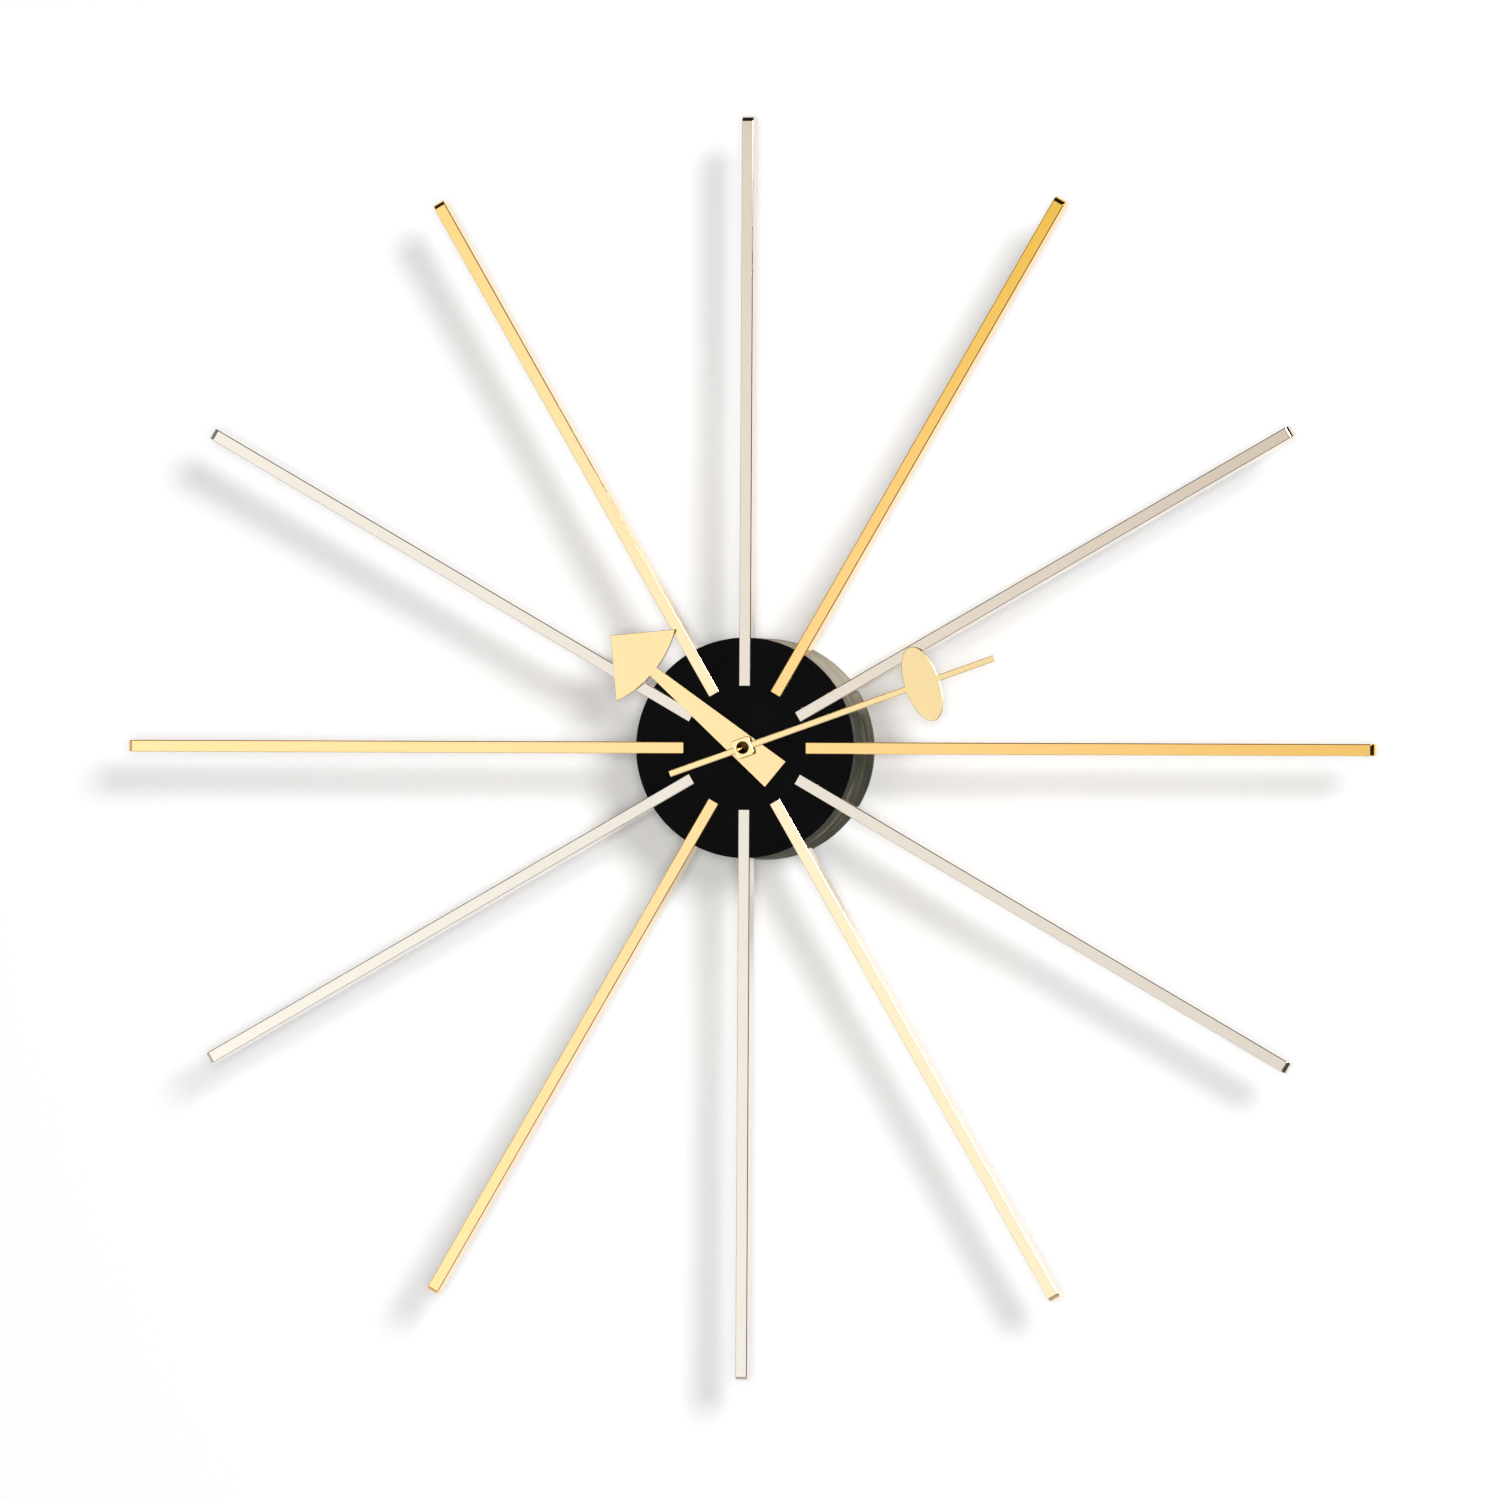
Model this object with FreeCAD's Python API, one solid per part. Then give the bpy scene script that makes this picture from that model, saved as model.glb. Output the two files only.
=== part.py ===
import FreeCAD, Part
import math
import os

# A sunburst wall clock: twelve long polished bars held in a round hub, a battery movement
# inside the hub, and two hands in front of it.
#
# Frame: millimetres, +Z up, the back face in the plane y = 0 and the front towards -Y.
# The hub's axis runs along Y through x = z = 0. Every depth below is a height above the
# back face, h = -y, so "front" is the larger h. A turn about +Y is clockwise seen from the front.

# Bars
BAR_COUNT = 12
BAR_INNER_R = 30.0
BAR_TIP_R = 305.0
BAR_WIDTH = 5.8
BAR_BACK_H = 49.5
BAR_FRONT_H = 62.0
BAR_TIP_ROUNDING = 2.5
BAR_EDGE_ROUNDING = 0.5
BAR_SCREW_RADII = (37.0, 46.5)
BAR_SCREW_HOLE_H = 55.5
BAR_SLOT_PLAY = 0.05

# Hub
DISC_R = 53.2
DISC_BACK_H = 58.5
DISC_FRONT_H = 61.5
DISC_CENTRE_HOLE_R = 4.6
CASE_FRONT_R = 53.2
CASE_REAR_R = 54.0
CASE_WALL = 1.5
CASE_FLANGE_INNER_R = 48.5
CASE_FLANGE_THICKNESS = 1.2
CASE_SLOT_PLAY = 0.2
CARRIER_R = 51.4
CARRIER_BACK_H = 45.5
CARRIER_WEB_H = 50.0
NUT_POCKET_R = 11.0

# Back plate
PLATE_R = 52.3
PLATE_THICKNESS = 2.0
BATTERY_WINDOW_X = 30.0
BATTERY_WINDOW_Z = (-34.0, -10.0)
WINDOW_CORNER_R = 4.0
KNOB_WINDOW_R = 7.5
KEYHOLE_Z = 36.0
KEYHOLE_HEAD_R = 4.5
KEYHOLE_SLOT_R = 2.3
KEYHOLE_RISE = 7.5
STANDOFF_R = 3.0
STANDOFF_CIRCLE_R = 45.0
STANDOFF_ANGLES = (75.0, 195.0, 315.0)
STANDOFF_HOLE = 10.0

# M3 screws
SCREW_R = 1.5
SCREW_HEAD_R = 2.75
SCREW_HEAD_HEIGHT = 2.5
SCREW_HEAD_PLAY = 0.25
SCREW_SOCKET_R = 1.2
SCREW_SOCKET_DEPTH = 1.3
SCREW_END_GAP = 0.5
COUNTERSINK_R = 2.9
COUNTERSINK_DEPTH = 1.5
DISC_SCREW_CIRCLE_R = 22.0
DISC_SCREW_COUNT = 4
DISC_SCREW_RECESS = 3.0
DISC_SCREW_HOLE_H = 60.3

# Movement case
MOVEMENT_HALF = 28.0
MOVEMENT_BACK_H = 29.0
MOVEMENT_SPLIT_H = 37.5
MOVEMENT_FRONT_H = 45.0
MOVEMENT_WALL = 1.2
MOVEMENT_FACE = 1.5
MOVEMENT_CORNER_R = 3.0
BAY_TOP_Z = -10.7
BUSHING_R = 5.0
BUSHING_BORE_R = 2.6
BUSHING_HOLE_R = 5.1
BUSHING_FRONT_H = 55.0
WASHER_THICKNESS = 0.5
WASHER_R = 8.5
NUT_ACROSS_FLATS = 14.0
NUT_THICKNESS = 3.0
GASKET_R = 12.0

# Battery, one AA cell lying across the bay
CELL_R = 7.1
CELL_Z = -19.35
CELL_H = 36.3
CELL_LEFT_X = -25.0
CELL_BODY_LENGTH = 49.2
CELL_NUB_LENGTH = 1.3
CELL_NUB_R = 2.7
CELL_EDGE_R = 0.6
CONTACT_THICKNESS = 0.4
CONTACT_HALF_HEIGHT = 5.0
CONTACT_HALF_DEPTH = 4.0
CONTACT_DIMPLE_R = 1.5
SPRING_WIDE_R = 3.6
SPRING_NARROW_R = 2.2

# Hands
HOUR_ANGLE = 309.5
MINUTE_ANGLE = 70.4
HOUR_BACK_H = 63.0
MINUTE_BACK_H = 64.9
HAND_THICKNESS = 1.0
HOUR_CORNER_R = 85.0
HOUR_HEAD_HALF = 22.6
HOUR_HEAD_BULGE = 5.0
HOUR_STEM_HALF = 2.25
HOUR_TAIL_HALF = 8.0
HOUR_TAIL = 20.1
MINUTE_TIP = 129.2
MINUTE_TAIL = 38.1
MINUTE_HALF = 1.55
MINUTE_BEVEL = 0.4
OVAL_CENTRE = 92.4
OVAL_HALF_ACROSS = 18.75
OVAL_HALF_ALONG = 8.5
OVAL_ROUNDING = 0.35
BOSS_HALF = 4.6
BOSS_CORNER_R = 1.3
BOSS_THICKNESS = 1.7
BOSS_HOLE_R = 3.1
BOSS_ROUNDING = 0.3
HOUR_ROUNDING = 0.2

# Shafts of the hands
RUNNING_PLAY = 0.05
PIPE_R = BUSHING_BORE_R - RUNNING_PLAY
ARBOR_R = 1.75
ARBOR_BACK_H = 38.2
ARBOR_END_R = 1.3
ARBOR_END_H = 66.4
PIPE_FRONT_H = 64.4
COLLET_R = 4.0
COLLET_LENGTH = 1.6
HAND_NUT_R = 3.0
HAND_NUT_THICKNESS = 1.5
NUT_DISH_R = 2.8
NUT_DISH_DEPTH = 0.9

# Gear teeth, as parts of the module or of the tooth pitch
ADDENDUM = 0.75
DEDENDUM = 1.1
TOOTH_ROOT = 0.28
TOOTH_PITCH = 0.19
TOOTH_TIP = 0.09

# Motion work, which drives the hour hand from the minute arbor through one side arbor
CANNON_TEETH = 12
MINUTE_WHEEL_TEETH = 36
MINUTE_PINION_TEETH = 10
HOUR_WHEEL_TEETH = 40
SIDE_DISTANCE = 10.0
SIDE_ANGLE = 180.0
SIDE_ARBOR_R = 1.2
CANNON_LAYER = (40.4, 41.4)
HOUR_LAYER = (42.0, 43.0)
KNOB_R = 6.0
KNOB_LAYER = (26.0, 28.7)
KNOB_GRIPS = 12
KNOB_GRIP_R = 0.6

# Going train, from the motor to the centre wheel
CENTRE_WHEEL_TEETH = 64
THIRD_PINION_TEETH = 8
THIRD_WHEEL_TEETH = 60
SECONDS_PINION_TEETH = 8
SECONDS_WHEEL_TEETH = 60
RELAY_PINION_TEETH = 10
RELAY_WHEEL_TEETH = 50
ROTOR_PINION_TEETH = 10
THIRD_DISTANCE = 9.0
THIRD_ANGLE = 45.0
RELAY_DISTANCE = 7.0
RELAY_ANGLE = -30.0
ROTOR_DISTANCE = 6.0
ROTOR_ANGLE = 0.0
CENTRE_LAYER = (38.8, 39.6)
THIRD_LAYER = (36.8, 37.6)
SECONDS_LAYER = (35.2, 35.8)
RELAY_LAYER = (33.6, 34.2)
PIVOT_R = 0.4
PIVOT_OVERRUN = 0.5
SLEEVE_R = 0.68
ROTOR_SLEEVE_R = 0.8
MAGNET_R = 2.0
MAGNET_LAYER = (31.4, 33.0)

# Motor and electronics
STATOR_LAYER = (31.8, 32.6)
STATOR_X = (8.6, 24.0)
STATOR_Z = (-8.5, 21.5)
STATOR_WINDOW_X = (12.4, 20.9)
STATOR_WINDOW_Z = (2.2, 17.6)
ROTOR_HOLE_R = 2.6
COIL_MARGIN = 2.2
COIL_LENGTH = 14.0
BOARD_X = (-25.0, -13.6)
BOARD_Z = (-8.0, 24.0)
BOARD_LAYER = (31.2, 32.0)
CRYSTAL_R = 1.5
CRYSTAL_LENGTH = 7.0
CRYSTAL_Z = 12.0
CHIP_R = 3.5
CHIP_THICKNESS = 1.2
CHIP_Z = 2.0

ORIGIN = FreeCAD.Vector(0, 0, 0)
FRONT = FreeCAD.Vector(0, -1, 0)
TURN_AXIS = FreeCAD.Vector(0, 1, 0)
RIGHT = FreeCAD.Vector(1, 0, 0)
UP = FreeCAD.Vector(0, 0, 1)
CENTRE = (0.0, 0.0)


def point(x, h, z):
    return FreeCAD.Vector(x, -h, z)


def polar(radius, angle, centre=CENTRE):
    """The x, z place at an angle measured from +X towards +Z."""
    turn = math.radians(angle)
    return centre[0] + radius * math.cos(turn), centre[1] + radius * math.sin(turn)


def round_bar(radius, h_back, h_front, centre=CENTRE):
    """A cylinder along the hub's axis."""
    return Part.makeCylinder(radius, h_front - h_back, point(centre[0], h_back, centre[1]), FRONT)


def ring(outer, inner, h_back, h_front, centre=CENTRE):
    return round_bar(outer, h_back, h_front, centre).cut(round_bar(inner, h_back, h_front, centre))


def block(x_range, h_range, z_range):
    corner = FreeCAD.Vector(x_range[0], -h_range[1], z_range[0])
    return Part.makeBox(x_range[1] - x_range[0], h_range[1] - h_range[0], z_range[1] - z_range[0], corner)


def plate(edges, thickness):
    """A flat piece from the edges of a closed outline, thickened towards the front."""
    return Part.Face(Part.Wire(edges)).extrude(FRONT * thickness)


def polygon_plate(corners, h_back, h_front):
    """A flat piece from x, z corners."""
    places = [point(x, h_back, z) for x, z in corners]
    outline = Part.makePolygon(places + places[:1])
    return Part.Face(outline).extrude(FRONT * (h_front - h_back))


def rounded_block(x_range, h_range, z_range, corner_r):
    """A block whose four edges along the hub's axis are rounded."""
    body = block(x_range, h_range, z_range)
    depth = h_range[1] - h_range[0]
    edges = [e for e in body.Edges if abs(e.Length - depth) < 1e-6 and is_axial(e)]
    return body.makeFillet(corner_r, edges)


def is_axial(edge):
    start = edge.Vertexes[0].Point
    end = edge.Vertexes[-1].Point
    return abs(start.x - end.x) < 1e-6 and abs(start.z - end.z) < 1e-6


def lies_at(edge, h):
    """True for an edge that lies all in the plane at height h."""
    return all(abs(-v.Point.y - h) < 1e-6 for v in edge.Vertexes)


def turned(shape, angle):
    """Turn a shape clockwise seen from the front, from twelve o'clock."""
    return shape.rotated(ORIGIN, TURN_AXIS, angle)


def union(shapes):
    return shapes[0].multiFuse(shapes[1:]).removeSplitter()


def group(shapes):
    """Identical loose pieces kept as separate solids of one node."""
    return Part.makeCompound(shapes)


# Hub and bars

def bar_slot(width, inner_r, h_back, h_front):
    """The straight cut that holds the twelve o'clock bar, open at the rim."""
    return block((-width / 2, width / 2), (h_back, h_front), (inner_r, CASE_REAR_R + 1.0))


def all_round(shape, count=BAR_COUNT):
    return [turned(shape, 360.0 / count * i) for i in range(count)]


def ray_bar():
    """One bar at twelve o'clock: a deep rectangular section, its tip's front edge well rounded."""
    middle = BAR_TIP_ROUNDING * math.cos(math.radians(45))
    arc_z = BAR_TIP_R - BAR_TIP_ROUNDING
    arc_h = BAR_FRONT_H - BAR_TIP_ROUNDING
    side = -BAR_WIDTH / 2
    back_in = point(side, BAR_BACK_H, BAR_INNER_R)
    back_out = point(side, BAR_BACK_H, BAR_TIP_R)
    arc_start = point(side, arc_h, BAR_TIP_R)
    arc_middle = point(side, arc_h + middle, arc_z + middle)
    arc_end = point(side, BAR_FRONT_H, arc_z)
    front_in = point(side, BAR_FRONT_H, BAR_INNER_R)
    outline = [
        Part.makeLine(back_in, back_out),
        Part.makeLine(back_out, arc_start),
        Part.Arc(arc_start, arc_middle, arc_end).toShape(),
        Part.makeLine(arc_end, front_in),
        Part.makeLine(front_in, back_in),
    ]
    body = Part.Face(Part.Wire(outline)).extrude(FreeCAD.Vector(BAR_WIDTH, 0, 0))
    bar = body.makeFillet(BAR_EDGE_ROUNDING, [e for e in body.Edges if is_shown_edge(e)])
    for radius in BAR_SCREW_RADII:
        bar = bar.cut(round_bar(SCREW_R, BAR_BACK_H, BAR_SCREW_HOLE_H, (0.0, radius)))
    return bar


def is_shown_edge(edge):
    """The edges along a bar's front and down its tip, but not its inner end or its back."""
    start = edge.Vertexes[0].Point
    end = edge.Vertexes[-1].Point
    along_side = abs(start.x - end.x) < 1e-6
    centre = edge.CenterOfMass
    return along_side and -centre.y > BAR_BACK_H + 0.1 and centre.z > BAR_INNER_R + 0.1


def front_disc():
    """The black disc that shows, with a slot for each bar and blind screw holes behind."""
    disc = round_bar(DISC_R, DISC_BACK_H, DISC_FRONT_H)
    slot = bar_slot(BAR_WIDTH + 2 * BAR_SLOT_PLAY, BAR_INNER_R - BAR_SLOT_PLAY, DISC_BACK_H, DISC_FRONT_H)
    cuts = all_round(slot)
    cuts.append(round_bar(DISC_CENTRE_HOLE_R, DISC_BACK_H, DISC_FRONT_H))
    cuts += [round_bar(SCREW_R, DISC_BACK_H, DISC_SCREW_HOLE_H, place) for place in disc_screw_places()]
    return disc.cut(cuts)


def disc_screw_places():
    step = 360.0 / DISC_SCREW_COUNT
    return [polar(DISC_SCREW_CIRCLE_R, step * (i + 0.5)) for i in range(DISC_SCREW_COUNT)]


def standoff_places():
    return [polar(STANDOFF_CIRCLE_R, 90.0 - angle) for angle in STANDOFF_ANGLES]


def bar_screw_places():
    step = 360.0 / BAR_COUNT
    return [polar(radius, step * i) for i in range(BAR_COUNT) for radius in BAR_SCREW_RADII]


def bar_carrier():
    """The thick turned block behind the disc that every bar is bolted into."""
    body = round_bar(CARRIER_R, CARRIER_BACK_H, DISC_BACK_H)
    slot = bar_slot(BAR_WIDTH + 2 * BAR_SLOT_PLAY, BAR_INNER_R - BAR_SLOT_PLAY, BAR_BACK_H, DISC_BACK_H)
    recess_end = CARRIER_BACK_H + DISC_SCREW_RECESS
    head_hole_r = SCREW_HEAD_R + SCREW_HEAD_PLAY
    cuts = all_round(slot)
    cuts.append(round_bar(NUT_POCKET_R, CARRIER_WEB_H, DISC_BACK_H))
    cuts.append(round_bar(BUSHING_HOLE_R, CARRIER_BACK_H, DISC_BACK_H))
    for place in bar_screw_places():
        cuts.append(round_bar(SCREW_R, CARRIER_BACK_H, BAR_BACK_H, place))
    for place in disc_screw_places():
        cuts.append(round_bar(SCREW_R, CARRIER_BACK_H, DISC_BACK_H, place))
        cuts.append(round_bar(head_hole_r, CARRIER_BACK_H, recess_end, place))
    for place in standoff_places():
        cuts.append(round_bar(SCREW_R, CARRIER_BACK_H, DISC_BACK_H, place))
        cuts.append(round_bar(head_hole_r, CARRIER_WEB_H, DISC_BACK_H, place))
    return body.cut(cuts)


def hub_case():
    """The spun metal can round the hub, with a slot in its rim for each bar."""
    flange_back = PLATE_THICKNESS
    flange_front = PLATE_THICKNESS + CASE_FLANGE_THICKNESS
    inner_rear = CASE_REAR_R - CASE_WALL
    profile = [
        (CASE_REAR_R, 0.0),
        (CASE_FRONT_R, DISC_BACK_H),
        (CASE_FRONT_R - CASE_WALL, DISC_BACK_H),
        (inner_rear, flange_front),
        (CASE_FLANGE_INNER_R, flange_front),
        (CASE_FLANGE_INNER_R, flange_back),
        (inner_rear, flange_back),
        (inner_rear, 0.0),
    ]
    places = [point(r, h, 0.0) for r, h in profile]
    can = Part.Face(Part.makePolygon(places + places[:1])).revolve(ORIGIN, TURN_AXIS, 360)
    slot_width = BAR_WIDTH + 2 * CASE_SLOT_PLAY
    slot = bar_slot(slot_width, CARRIER_R - 2.0, BAR_BACK_H - CASE_SLOT_PLAY, DISC_BACK_H)
    return can.cut(all_round(slot))


def keyhole():
    head = round_bar(KEYHOLE_HEAD_R, 0.0, PLATE_THICKNESS, (0.0, KEYHOLE_Z))
    top = KEYHOLE_Z + KEYHOLE_RISE
    slot = block((-KEYHOLE_SLOT_R, KEYHOLE_SLOT_R), (0.0, PLATE_THICKNESS), (KEYHOLE_Z, top))
    end = round_bar(KEYHOLE_SLOT_R, 0.0, PLATE_THICKNESS, (0.0, top))
    return union([head, slot, end])


def back_plate():
    """The steel plate against the wall, open behind the battery and the setting knob."""
    body = round_bar(PLATE_R, 0.0, PLATE_THICKNESS)
    window_x = (-BATTERY_WINDOW_X, BATTERY_WINDOW_X)
    window = rounded_block(window_x, (0.0, PLATE_THICKNESS), BATTERY_WINDOW_Z, WINDOW_CORNER_R)
    knob_window = round_bar(KNOB_WINDOW_R, 0.0, PLATE_THICKNESS, side_place())
    cuts = [window, knob_window, keyhole()]
    cuts += [countersunk_shape(PLATE_THICKNESS, place) for place in standoff_places()]
    return body.cut(cuts)


def countersunk_shape(length, place):
    """A countersunk screw's outside, head at the back face and pointing forwards."""
    shank = round_bar(SCREW_R, 0.0, length, place)
    start = point(place[0], 0.0, place[1])
    head = Part.makeCone(COUNTERSINK_R, SCREW_R, COUNTERSINK_DEPTH, start, FRONT)
    return shank.fuse(head)


def hexagon_bar(corner_r, h_back, h_front, place=CENTRE):
    corners = [polar(corner_r, 60.0 * i, place) for i in range(6)]
    return polygon_plate(corners, h_back, h_front)


def cap_screw(place, head_back, shank_front):
    """A screw driven from behind: its head's back face at head_back."""
    head_front = head_back + SCREW_HEAD_HEIGHT
    head = round_bar(SCREW_HEAD_R, head_back, head_front, place)
    shank = round_bar(SCREW_R, head_front, shank_front, place)
    socket = hexagon_bar(SCREW_SOCKET_R, head_back, head_back + SCREW_SOCKET_DEPTH, place)
    return head.fuse(shank).cut(socket)


def bar_screws():
    back = CARRIER_BACK_H - SCREW_HEAD_HEIGHT
    end = BAR_SCREW_HOLE_H - SCREW_END_GAP
    return group([cap_screw(place, back, end) for place in bar_screw_places()])


def disc_screws():
    back = CARRIER_BACK_H + DISC_SCREW_RECESS - SCREW_HEAD_HEIGHT
    end = DISC_SCREW_HOLE_H - SCREW_END_GAP
    return group([cap_screw(place, back, end) for place in disc_screw_places()])


def back_standoffs():
    """The three posts that tie the back plate to the bar carrier."""
    posts = []
    for place in standoff_places():
        post = round_bar(STANDOFF_R, PLATE_THICKNESS, CARRIER_BACK_H, place)
        rear_hole = round_bar(SCREW_R, PLATE_THICKNESS, PLATE_THICKNESS + STANDOFF_HOLE, place)
        front_hole = round_bar(SCREW_R, CARRIER_BACK_H - STANDOFF_HOLE, CARRIER_BACK_H, place)
        posts.append(post.cut([rear_hole, front_hole]))
    return group(posts)


def standoff_front_screws():
    """Screws driven from the front of the carrier into the posts, hidden by the disc."""
    screws = []
    for place in standoff_places():
        head_front = CARRIER_WEB_H + SCREW_HEAD_HEIGHT
        head = round_bar(SCREW_HEAD_R, CARRIER_WEB_H, head_front, place)
        tip = CARRIER_BACK_H - STANDOFF_HOLE + SCREW_END_GAP
        shank = round_bar(SCREW_R, tip, CARRIER_WEB_H, place)
        socket = hexagon_bar(SCREW_SOCKET_R, head_front - SCREW_SOCKET_DEPTH, head_front, place)
        screws.append(head.fuse(shank).cut(socket))
    return group(screws)


def back_plate_screws():
    length = PLATE_THICKNESS + STANDOFF_HOLE - SCREW_END_GAP
    screws = []
    for place in standoff_places():
        body = countersunk_shape(length, place)
        screws.append(body.cut(hexagon_bar(SCREW_SOCKET_R, 0.0, SCREW_SOCKET_DEPTH, place)))
    return group(screws)


# Movement case

def case_inside(h_back, h_front, z_low, z_high):
    inner = MOVEMENT_HALF - MOVEMENT_WALL
    return block((-inner, inner), (h_back, h_front), (z_low, z_high))


def movement_outer(h_back, h_front):
    span = (-MOVEMENT_HALF, MOVEMENT_HALF)
    return rounded_block(span, (h_back, h_front), span, MOVEMENT_CORNER_R)


def gear_space(h_back, h_front):
    inner = MOVEMENT_HALF - MOVEMENT_WALL
    return case_inside(h_back, h_front, BAY_TOP_Z, inner)


def battery_space(h_back, h_front):
    inner = MOVEMENT_HALF - MOVEMENT_WALL
    return case_inside(h_back, h_front, -inner, BAY_TOP_Z - MOVEMENT_WALL)


def movement_front_case():
    """The front half of the movement's box, with the threaded bushing that holds it to the hub."""
    inside_front = MOVEMENT_FRONT_H - MOVEMENT_FACE
    box = movement_outer(MOVEMENT_SPLIT_H, MOVEMENT_FRONT_H)
    box = box.fuse(round_bar(BUSHING_R, MOVEMENT_FRONT_H, BUSHING_FRONT_H))
    return box.cut([
        gear_space(MOVEMENT_SPLIT_H, inside_front),
        battery_space(MOVEMENT_SPLIT_H, inside_front),
        round_bar(BUSHING_BORE_R, inside_front, BUSHING_FRONT_H),
    ])


def movement_rear_case():
    """The rear half: a wall behind the gears, with their pivot posts, and an open battery bay."""
    inside_back = MOVEMENT_BACK_H + MOVEMENT_FACE
    box = movement_outer(MOVEMENT_BACK_H, MOVEMENT_SPLIT_H)
    box = box.cut([
        gear_space(inside_back, MOVEMENT_SPLIT_H),
        battery_space(MOVEMENT_BACK_H, MOVEMENT_SPLIT_H),
        round_bar(SIDE_ARBOR_R + RUNNING_PLAY, MOVEMENT_BACK_H, inside_back, side_place()),
    ])
    posts = [
        round_bar(PIVOT_R, inside_back, CENTRE_LAYER[1] + PIVOT_OVERRUN, third_place()),
        round_bar(PIVOT_R, inside_back, THIRD_LAYER[1]),
        round_bar(PIVOT_R, inside_back, SECONDS_LAYER[1] + PIVOT_OVERRUN, relay_place()),
        round_bar(PIVOT_R, inside_back, RELAY_LAYER[1] + PIVOT_OVERRUN, rotor_place()),
    ]
    return union([box] + posts)


def movement_gasket():
    return ring(GASKET_R, BUSHING_HOLE_R, MOVEMENT_FRONT_H, CARRIER_BACK_H)


def movement_washer():
    return ring(WASHER_R, BUSHING_R, CARRIER_WEB_H, CARRIER_WEB_H + WASHER_THICKNESS)


def movement_nut():
    back = CARRIER_WEB_H + WASHER_THICKNESS
    corner_r = NUT_ACROSS_FLATS / 2 / math.cos(math.radians(30))
    nut = hexagon_bar(corner_r, back, back + NUT_THICKNESS)
    return nut.cut(round_bar(BUSHING_R, back, back + NUT_THICKNESS))


# Gears

def side_place():
    return polar(SIDE_DISTANCE, SIDE_ANGLE)


def third_place():
    return polar(THIRD_DISTANCE, THIRD_ANGLE)


def relay_place():
    return polar(RELAY_DISTANCE, RELAY_ANGLE)


def rotor_place():
    return polar(ROTOR_DISTANCE, ROTOR_ANGLE, relay_place())


def gear(teeth, module, layer, centre, tooth_angle):
    """A spur gear with one tooth pointing at tooth_angle."""
    pitch_r = module * teeth / 2
    pitch = 360.0 / teeth
    flank = [
        (pitch_r - DEDENDUM * module, -TOOTH_ROOT),
        (pitch_r, -TOOTH_PITCH),
        (pitch_r + ADDENDUM * module, -TOOTH_TIP),
        (pitch_r + ADDENDUM * module, TOOTH_TIP),
        (pitch_r, TOOTH_PITCH),
        (pitch_r - DEDENDUM * module, TOOTH_ROOT),
    ]
    corners = []
    for i in range(teeth):
        for radius, share in flank:
            corners.append(polar(radius, tooth_angle + pitch * (i + share), centre))
    return polygon_plate(corners, layer[0], layer[1])


def meshed_pair(wheel_teeth, pinion_teeth, distance, layer, wheel_at, pinion_at):
    """Two gears in mesh: the wheel's tooth stands in a gap of the pinion."""
    module = 2 * distance / (wheel_teeth + pinion_teeth)
    heading = math.degrees(math.atan2(pinion_at[1] - wheel_at[1], pinion_at[0] - wheel_at[0]))
    wheel = gear(wheel_teeth, module, layer, wheel_at, heading)
    pinion = gear(pinion_teeth, module, layer, pinion_at, heading + 180.0 + 180.0 / pinion_teeth)
    return wheel, pinion


def cannon_mesh():
    return meshed_pair(MINUTE_WHEEL_TEETH, CANNON_TEETH, SIDE_DISTANCE, CANNON_LAYER, side_place(), CENTRE)


def hour_mesh():
    pinion_teeth = MINUTE_PINION_TEETH
    return meshed_pair(HOUR_WHEEL_TEETH, pinion_teeth, SIDE_DISTANCE, HOUR_LAYER, CENTRE, side_place())


def centre_mesh():
    pinion_teeth = THIRD_PINION_TEETH
    return meshed_pair(CENTRE_WHEEL_TEETH, pinion_teeth, THIRD_DISTANCE, CENTRE_LAYER, CENTRE, third_place())


def third_mesh():
    pinion_teeth = SECONDS_PINION_TEETH
    return meshed_pair(THIRD_WHEEL_TEETH, pinion_teeth, THIRD_DISTANCE, THIRD_LAYER, third_place(), CENTRE)


def seconds_mesh():
    teeth = SECONDS_WHEEL_TEETH
    return meshed_pair(teeth, RELAY_PINION_TEETH, RELAY_DISTANCE, SECONDS_LAYER, CENTRE, relay_place())


def relay_mesh():
    teeth = RELAY_WHEEL_TEETH
    return meshed_pair(teeth, ROTOR_PINION_TEETH, ROTOR_DISTANCE, RELAY_LAYER, relay_place(), rotor_place())


def on_pivot(lower, upper, h_back, h_front, centre):
    """Two gears on one sleeve that turns on a fixed pivot post."""
    sleeve = round_bar(SLEEVE_R, h_back, h_front, centre)
    body = union([lower, upper, sleeve])
    return body.cut(round_bar(PIVOT_R + RUNNING_PLAY, h_back, h_front, centre))


def third_wheel():
    wheel = third_mesh()[0]
    pinion = centre_mesh()[1]
    return on_pivot(wheel, pinion, THIRD_LAYER[0], CENTRE_LAYER[1], third_place())


def seconds_wheel():
    wheel = seconds_mesh()[0]
    pinion = third_mesh()[1]
    return on_pivot(wheel, pinion, SECONDS_LAYER[0], THIRD_LAYER[1], CENTRE)


def relay_wheel():
    wheel = relay_mesh()[0]
    pinion = seconds_mesh()[1]
    return on_pivot(wheel, pinion, RELAY_LAYER[0], SECONDS_LAYER[1], relay_place())


def rotor():
    """The plastic rotor: its pinion and the sleeve that carries the magnet."""
    sleeve = round_bar(ROTOR_SLEEVE_R, MAGNET_LAYER[0], RELAY_LAYER[0], rotor_place())
    body = union([relay_mesh()[1], sleeve])
    return body.cut(round_bar(PIVOT_R + RUNNING_PLAY, MAGNET_LAYER[0], RELAY_LAYER[1], rotor_place()))


def rotor_magnet():
    return ring(MAGNET_R, ROTOR_SLEEVE_R, MAGNET_LAYER[0], MAGNET_LAYER[1], rotor_place())


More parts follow.
